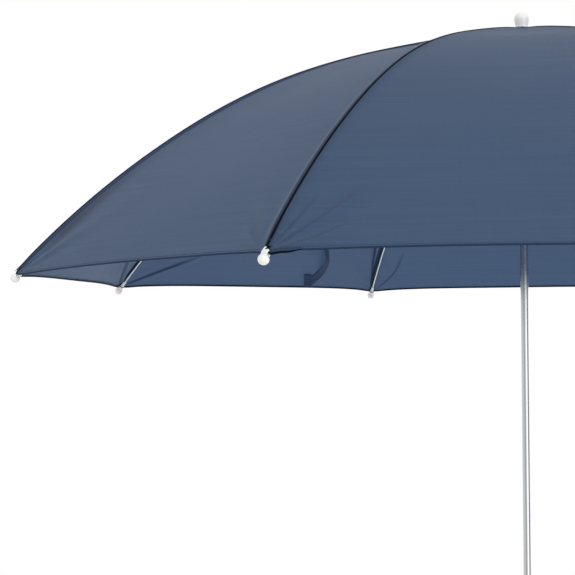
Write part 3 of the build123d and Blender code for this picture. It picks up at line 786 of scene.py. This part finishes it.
def rim_hem(rib):
    """The rolled hem along a gore's rim."""
    points, normals, down = rim_line(rib, 121)
    turns = np.linspace(0, 2 * math.pi, 12, endpoint=False)
    height = HEM_HEIGHT * (HEAVY_HEM if rib in HEAVY_HEMS else 1.0)
    centre = points - down * 0.3 * height - normals * HEM_INWARD
    rings = centre[:, None] + (
        np.cos(turns)[None, :, None] * down[:, None] * height / 2
        + np.sin(turns)[None, :, None] * normals[:, None] * HEM_THICKNESS / 2
    )
    # The hem's outer half is the darker navy hem cloth; its inner half and underside are near-black,
    # painted shade.
    return tube_of(f"rim_hem_{rib}", rings, [DARK_CLOTH, HEM_CLOTH], lambda j: int(j < 6))


def hem_stitches(rib):
    """The thread above the hem."""
    points, normals, _ = rim_line(rib, 241, HEM_STITCH_UP)
    return stitches(f"hem_stitches_{rib}", points - normals * 0.0001, normals, [SEAM_CLOTH])


def hem_tuck(rib):
    """A loose fold of the hem that hangs below the rim beside the corner."""
    asides = np.linspace(0.006, 0.052, 24)
    points, normals, down = beside_rib(rib, asides, np.full(24, RIM))
    share = (asides - asides[0]) / (asides[-1] - asides[0])
    drop = 0.0062 * (1 - smooth(share, 0.55, 1.0)) * smooth(share, -0.1, 0.15)
    drop = drop + 0.0006 * np.sin(9 * share)
    # Share of the drop (a minus is a length up from the rim), height over the cloth.
    outline = ((-0.004, 0.0006), (0.5, 0.0014), (1.0, 0.0012),
               (1.05, 0.0), (1.0, -0.0008), (-0.004, -0.0004))
    rings = []
    for reach, lift in outline:
        along = reach * drop if reach > 0 else reach + 0 * drop
        rings.append(points + down * along[:, None] + normals * lift)
    # The tuck is near-black, painted shade, with one edge in the patch cloth.
    looks = [DARK_CLOTH, PATCH_CLOTH]
    return tube_of(f"hem_tuck_{rib}", np.stack(rings, 1), looks, lambda j: int(j == 0))


def corner_pocket(rib):
    """The folded tab of cloth that holds the tip's neck."""
    lengths = np.linspace(RIM - 0.013, RIM + 0.0005, 10)
    widths = 0.0062 - 0.0022 * smooth(lengths, RIM - 0.010, RIM)
    _, ridge, _ = beside_rib(rib, 0 * widths + 1e-6, lengths)
    outer, inner = [], []
    for share in np.linspace(-1, 1, 13):
        points, normals, _ = beside_rib(rib, share * widths, lengths)
        outer.append(points + normals * 0.0002 + ridge * 0.0002 * (1 - share**2))
        inner.append(points - normals * (0.0012 + 0.0016 * (1 - share**2)))
    rings = np.stack(outer + inner[::-1], 1)
    # Near-black: painted shade in the folded tab.
    return tube_of(f"corner_pocket_{rib}", rings, [DARK_CLOTH])


def under(length, depth):
    """Radius and height of a point below the cloth line."""
    radius, drop, slope = walk(length)
    return float(radius - depth * np.sin(slope)), float(APEX - drop - depth * np.cos(slope))


def in_rib_plane(rib, radius, height):
    """A point at a radius and a height, in the upright plane of a rib."""
    turn = rib_angle(rib)
    return np.array([radius * math.cos(turn), radius * math.sin(turn), height])


def tip(rib):
    """White ball end: a sleeve over the rod, a waist, a shoulder and the ball with its parting ridge."""
    centre = in_rib_plane(rib, *under(RIM + BALL_PAST_CORNER, CLOTH_TO_ROD))
    back = in_rib_plane(rib, *under(RIM + BALL_PAST_CORNER - 0.01, CLOTH_TO_ROD))
    profile = [(-0.0280, 0.0029), (-0.0278, 0.0036), (-0.0270, 0.0038), (-0.0160, 0.0038)]
    profile += [(-0.0155, 0.0040), (-0.0146, 0.0046), (-0.0130, 0.0050), (-0.0112, 0.0056)]
    profile += [(-0.0096, 0.0060), (-0.0084, 0.0059), (-0.0076, 0.0055)]
    profile += arc_profile(0, BALL_RADIUS - 0.0002, 139, 94, 12)
    profile += [(-0.0005, BALL_RADIUS - 0.0001), (0.0, BALL_RADIUS), (0.0005, BALL_RADIUS - 0.0001)]
    profile += arc_profile(0, BALL_RADIUS - 0.0002, 86, 2, 18)
    piece = lathe(f"tip_{rib}", profile, centre, centre - back, [WHITE], 36)
    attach(piece, f"rib_{rib}")
    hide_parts(f"rib_tip_{rib}")


def tip_tongue(rib):
    """The tip's outer tongue, which lies over the cloth's corner, and the thread in its hole."""
    # Length past the corner, height over the cloth, half width, sideways shift.
    stations = ((0.0110, -0.0030, 0.0042, 0.0), (0.0075, 0.0004, 0.0054, 0.0005),
                (0.0045, 0.0020, 0.0062, 0.0016), (0.0026, 0.0023, 0.0064, 0.0022),
                (0.0014, 0.0024, 0.0056, 0.0018), (0.0002, 0.0024, 0.0040, 0.0006),
                (-0.0018, 0.0024, 0.0029, -0.0002), (-0.0036, 0.0024, 0.0020, -0.0004),
                (-0.0047, 0.0023, 0.0012, -0.0004), (-0.0051, 0.0021, 0.0005, -0.0004))
    turn = rib_angle(rib)
    aside = np.array([-math.sin(turn), math.cos(turn), 0])
    spin = np.linspace(0, 2 * math.pi, 16, endpoint=False)
    rings = []
    for length, lift, half, shift in stations:
        middle = in_rib_plane(rib, *under(RIM + length, -lift))
        out = unit(in_rib_plane(rib, *under(RIM + length, -lift - 0.01)) - middle)
        centre = middle + aside * shift
        thick = min(0.0011, half)
        rings.append([centre + aside * half * math.cos(t) + out * thick * math.sin(t) for t in spin])
    tongue = tube_of(f"tip_tongue_{rib}", np.array(rings)[::-1], [WHITE])
    hole = in_rib_plane(rib, *under(RIM - 0.0002, -0.0024))
    out = unit(in_rib_plane(rib, *under(RIM - 0.0002, -0.0124)) - hole)
    knot = hole + aside * 0.0030
    profile = [(-0.0024, 0.0012), (-0.0022, 0.0017), (0.0012, 0.0017), (0.0016, 0.0012), (0.0017, 0.0003)]
    thread = lathe(f"tip_thread_{rib}", profile, knot, out, [GROOVE_SHADE_AND_THREAD], 14)
    for piece, slot in ((tongue, "white_plastic"), (thread, "canopy_cloth")):
        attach(piece, f"rib_{rib}")


def tip_tie(rib):
    """The thread that ties the corner of the cloth to the tip's waist."""
    centre = in_rib_plane(rib, *under(RIM - 0.0003, CLOTH_TO_ROD))
    ahead = in_rib_plane(rib, *under(RIM + 0.004, CLOTH_TO_ROD))
    axis = unit(ahead - centre)
    first = unit(np.cross(axis, [0, 0, 1.0]))
    second = np.cross(axis, first)
    turns = np.linspace(0, 6 * math.pi, 60)
    spin = np.linspace(0, 2 * math.pi, 6, endpoint=False)
    rings = []
    for n, turn in enumerate(turns):
        outward = math.cos(turn) * first + math.sin(turn) * second
        middle = centre + axis * (0.0012 * n / len(turns) - 0.0006) + outward * 0.0052
        rings.append([middle + 0.0004 * (math.cos(t) * outward + math.sin(t) * axis) for t in spin])
    piece = tube_of(f"tip_tie_{rib}", np.array(rings), [DARK_CLOTH])
    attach(piece, f"rib_{rib}")


def build_canopy():
    """All gores with what is sewn to them, and the tips."""
    flat = (2 * float(half_width(RIM)), RIM - START)
    for rib in range(1, RIBS + 1):
        gore = canopy_gore(rib)
        extras = [rib_seam(rib), seam_line(rib), seam_stitches(rib), rim_hem(rib), hem_stitches(rib)]
        extras.append(corner_pocket(rib))
        if rib == TUCK_RIB:
            extras.append(hem_tuck(rib))
        for piece in extras:
            fold_with(piece, rib)
        tip(rib)
        tip_tongue(rib)
        tip_tie(rib)


def crown_round():
    """The round of cloth under the finial, with its stitched edge."""
    edge = CROWN_RADIUS + 0.004
    top = float(APEX - walk(CROWN_RADIUS)[1]) + 0.0042

    def circle(radius, angles, lift):
        out = radius / edge
        height = top + lift - 0.16 * radius + 0.0004 * np.sin(8 * angles) * out**2 - 0.0014 * out**4
        return np.stack([radius * np.cos(angles), radius * np.sin(angles), height], -1)

    upper = [0.0034, 0.010, 0.016, 0.021, edge - 0.001]
    thickness = 0.001
    angles = np.linspace(0, 2 * math.pi, 97)[:-1]
    rings = [circle(radius, angles, 0) for radius in upper]
    rings.append(circle(edge, angles, -thickness / 2))
    rings += [circle(radius, angles, -thickness) for radius in upper[::-1]]
    rings = np.array(rings)
    rows, columns = rings.shape[:2]
    faces = grid_faces(rows, columns, closed=True)
    for j in range(columns):
        k = (j + 1) % columns
        faces.append(((rows - 1) * columns + j, j, k, (rows - 1) * columns + k))
    piece = new_object("crown_cloth", rings.reshape(-1, 3), faces, [SEAM_CLOTH])
    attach(piece, "upper_pole")
    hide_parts("crown_patch")
    points = circle(0.92 * edge, np.linspace(0, 2 * math.pi, 120), 0)
    thread = stitches("crown_stitches", points, np.tile([0, 0, 1.0], (len(points), 1)), [THREAD])
    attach(thread, "upper_pole")


def finial_cap():
    """White domed cap, a little narrower at its foot, with a moulded foot ring."""
    low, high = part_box("finial")
    radius = (high.x - low.x) / 2
    foot = float(APEX) - 0.0006
    shoulder = high.z - radius
    profile = [(-0.0114, 0.0029), (0.0006, 0.0029), (0.0010, 0.0118), (0.0018, 0.0128)]
    profile += [(0.0036, 0.0130), (0.0044, 0.0126), (0.0052, 0.0128)]
    profile += [(shoulder - foot - 0.003, radius - 0.0004), (shoulder - foot, radius)]
    profile += arc_profile(shoulder - foot, radius, 88, 2, 22)
    piece = lathe("finial_cap", profile, (0, 0, foot), (0, 0, 1), [WHITE], 56)
    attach(piece, "upper_pole")
    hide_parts("finial")


# ---- closing strap ----
STRAP_RIB = 3
STRAP_WIDTH = 0.025
STRAP_LENGTH = 0.255
STRAP_THICKNESS = 0.0012
# The sewn square's place: how far from the rib, and how far it leans away from it on the way up.
STRAP_ASIDE = 0.215
STRAP_LEAN = 0.22
# The strap's heading (degrees towards the rib) at lengths along it, and where it starts over the rim.
STRAP_RUN = (0, 0.017, 0.030, 0.045, 0.063, 0.082, 0.101, 0.122, 0.150, 0.180, 0.255)
STRAP_HEADING = (42, 44, 42, 26, 13, 2, -12, -21, -26, -24, 0)
STRAP_START = (-0.001, 0.0172)


def strap():
    """The closing strap: sewn to the rim, lying up the inside of its panel and turning on its edge."""
    run = STRAP_LENGTH * np.linspace(0, 1, 70)
    heading = np.radians(np.interp(run, STRAP_RUN, STRAP_HEADING))
    delta = np.diff(run, prepend=0)
    aside = STRAP_ASIDE + STRAP_START[0] - np.cumsum(np.sin(heading) * delta)
    up = STRAP_START[1] + np.cumsum(np.cos(heading) * delta)
    twist = np.radians(14 * smooth(run, 0.04, 0.065) + 28 * smooth(run, 0.068, 0.105))
    rings = []
    for side in (1, -1):
        for share in np.linspace(-side, side, 9):
            half = share * STRAP_WIDTH / 2
            place = aside - half * np.cos(heading) * np.cos(twist)
            length = RIM - up + half * np.sin(heading) * np.cos(twist)
            points, normals, _ = beside_rib(STRAP_RIB, place, length)
            depth = 0.0022 + STRAP_WIDTH / 2 * np.sin(twist) * (1 - share) + side * STRAP_THICKNESS / 2
            rings.append(points - normals * depth[:, None])
    return tube_of("closing_strap", np.stack(rings, 1), [STRAP_CLOTH])


def strap_patch():
    """The folded end of the strap, sewn down in a square."""
    rows = np.linspace(0.004, 0.046, 20)
    outline = []
    for side, depth in ((1, 0.0046), (-1, 0.0030)):
        for share in np.linspace(-side, side, 9):
            edge = 0.0004 * (abs(share) > 0.99)
            place = STRAP_ASIDE - share * STRAP_WIDTH * 0.5 + STRAP_LEAN * rows
            points, normals, _ = beside_rib(STRAP_RIB, place, RIM - rows)
            outline.append(points - normals * (depth - side * edge))
    return tube_of("strap_patch", np.stack(outline, 1), [PATCH_CLOTH])


def strap_sewing():
    """The square of stitches that holds the strap's end."""
    # Height over the rim, share of the strap's width.
    corners = ((0.0065, -0.4), (0.0435, -0.4), (0.0435, 0.4), (0.0065, 0.4), (0.0065, -0.4))
    points, normals = [], []
    for (row, share), (next_row, next_share) in zip(corners, corners[1:]):
        for t in np.linspace(0, 1, 8, endpoint=False):
            up = row + (next_row - row) * t
            place = STRAP_ASIDE - (share + (next_share - share) * t) * STRAP_WIDTH + STRAP_LEAN * up
            spot, out, _ = beside_rib(STRAP_RIB, np.array([place]), np.array([RIM - up]))
            points.append(spot[0] - out[0] * 0.0049)
            normals.append(-out[0])
    return stitches("strap_stitches", np.array(points), np.array(normals), [THREAD])


def build_strap():
    """The strap, its sewn end and the stitches, which all fold with one gore."""
    piece = strap()
    patch = strap_patch()
    sewing = strap_sewing()
    for part in (piece, patch, sewing):
        fold_with(part, STRAP_RIB)
    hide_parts("tie_strap")


# ---- light, camera and floor ----
# The light round the horizon, by the share of a turn from -X through -Y, where the camera is, +X and +Y.
HORIZON = ((0.0, 0.57), (0.14, 0.56), (0.18, 0.34), (0.21, 0.30), (0.25, 0.50), (0.34, 1.25),
           (0.41, 1.10), (0.45, 0.15), (0.51, 0.12), (0.58, 0.80), (0.75, 1.02), (0.92, 0.71), (1.0, 0.57))
OVERHEAD = 0.26
LIGHT_STRENGTH = 3.3
CAMERA_PLACE = (-0.0532, -3.0904, 1.4322)
CAMERA_YAW, CAMERA_PITCH, CAMERA_ROLL = 7.83, 1.935, -0.283
CAMERA_LENS = 95.69
FLOOR_RADIUS = 5.0
FLOOR_GAP = 0.0005


def make_world():
    """White to the camera; to the object lights and darks round the horizon, and an even sky."""
    studio = NodeTree(bpy.data.worlds.new("studio"))
    bpy.context.scene.world = studio.made
    studio.tree.nodes.clear()
    out = studio.node("ShaderNodeOutputWorld")
    seen = studio.node("ShaderNodeBackground", Color=(1, 1, 1, 1), Strength=1.0)
    lit = studio.node("ShaderNodeBackground", Strength=LIGHT_STRENGTH)
    where = studio.node("ShaderNodeTexCoord")
    split = studio.node("ShaderNodeSeparateXYZ")
    studio.link(where.outputs["Generated"], split.inputs["Vector"])
    turn = studio.node("ShaderNodeMath", operation="ARCTAN2")
    studio.link(split.outputs["Y"], turn.inputs[0])
    studio.link(split.outputs["X"], turn.inputs[1])
    share = studio.node("ShaderNodeMapRange", From_Min=-math.pi, From_Max=math.pi)
    studio.link(turn.outputs["Value"], share.inputs["Value"])
    horizon = studio.ramp(share.outputs["Result"], [(at, grey(value / 2)) for at, value in HORIZON])
    lowness = studio.node("ShaderNodeMapRange", From_Min=-0.05, From_Max=0.75, To_Min=1.0, To_Max=0.0)
    studio.link(split.outputs["Z"], lowness.inputs["Value"])
    around = studio.node("ShaderNodeMix", data_type="RGBA")
    around.inputs[6].default_value = colour4(grey(OVERHEAD))
    studio.link(lowness.outputs["Result"], around.inputs["Factor"])
    studio.link(horizon, around.inputs[7])
    studio.link(around.outputs[2], lit.inputs["Color"])
    path = studio.node("ShaderNodeLightPath")
    mix = studio.node("ShaderNodeMixShader")
    studio.link(path.outputs["Is Camera Ray"], mix.inputs["Fac"])
    studio.link(lit.outputs["Background"], mix.inputs[1])
    studio.link(seen.outputs["Background"], mix.inputs[2])
    studio.link(mix.outputs["Shader"], out.inputs["Surface"])


def area_light(name, place, target, size, power):
    """A rectangular light that the camera doesn't see."""
    data = bpy.data.lights.new(name, "AREA")
    data.shape = "RECTANGLE"
    data.size, data.size_y = size
    data.energy = power
    light = bpy.data.objects.new(name, data)
    bpy.context.scene.collection.objects.link(light)
    light.location = place
    light.rotation_euler = (Vector(target) - Vector(place)).to_track_quat("-Z", "Y").to_euler()
    light.visible_camera = False


def make_camera():
    """A camera just under the rim's height, turned a little from the pole."""
    data = bpy.data.cameras.new("camera")
    data.sensor_width = 36.0
    data.lens = CAMERA_LENS
    data.clip_start = 0.05
    data.clip_end = 200.0
    camera = bpy.data.objects.new("camera", data)
    bpy.context.scene.collection.objects.link(camera)
    turn = Matrix.Rotation(math.radians(CAMERA_YAW), 4, "Z")
    turn = turn @ Matrix.Rotation(math.pi / 2 + math.radians(CAMERA_PITCH), 4, "X")
    turn = turn @ Matrix.Rotation(math.radians(CAMERA_ROLL), 4, "Z")
    camera.matrix_world = Matrix.Translation(CAMERA_PLACE) @ turn
    bpy.context.scene.camera = camera


def make_floor():
    """A round white floor just below the base."""
    segments = 96
    angles = np.linspace(0, 2 * math.pi, segments, endpoint=False)
    level = np.full(segments, cad_low.z - FLOOR_GAP)
    rim = np.stack([FLOOR_RADIUS * np.cos(angles), FLOOR_RADIUS * np.sin(angles), level], -1)
    look = Look("floor", (0.86, 0.86, 0.85), 0.85)
    look.paint(look.noise(1.5, 3.0), 0.98, 1.02)
    # The floor fades out towards its edge, and its underside lets the light through.
    reach = look.node("ShaderNodeVectorMath", operation="LENGTH")
    look.link(look.place((1 / FLOOR_RADIUS,) * 3), reach.inputs[0])
    fade = look.ramp(reach.outputs["Value"], ((0.62, (0, 0, 0)), (0.99, (1, 1, 1))))
    geometry = look.node("ShaderNodeNewGeometry")
    clearness = look.node("ShaderNodeMath", operation="MAXIMUM")
    look.link(fade, clearness.inputs[0])
    look.link(geometry.outputs["Backfacing"], clearness.inputs[1])
    clear = look.node("ShaderNodeBsdfTransparent")
    mix = look.node("ShaderNodeMixShader")
    look.link(clearness.outputs["Value"], mix.inputs["Fac"])
    look.link(look.shader.outputs["BSDF"], mix.inputs[1])
    look.link(clear.outputs["BSDF"], mix.inputs[2])
    look.link(mix.outputs["Shader"], look.output.inputs["Surface"])
    floor = new_object("floor", rim, [tuple(range(segments))], [look.made], flat=True)


bpy.context.scene.view_settings.view_transform = "Standard"
make_camera()
make_world()
make_floor()
area_light("key", (2.4, -3.2, 3.4), (0, 0, 1.6), (1.6, 1.6), 42)
dress_nodes()
build_canopy()
crown_round()
finial_cap()
build_strap()

bpy.context.view_layer.update()
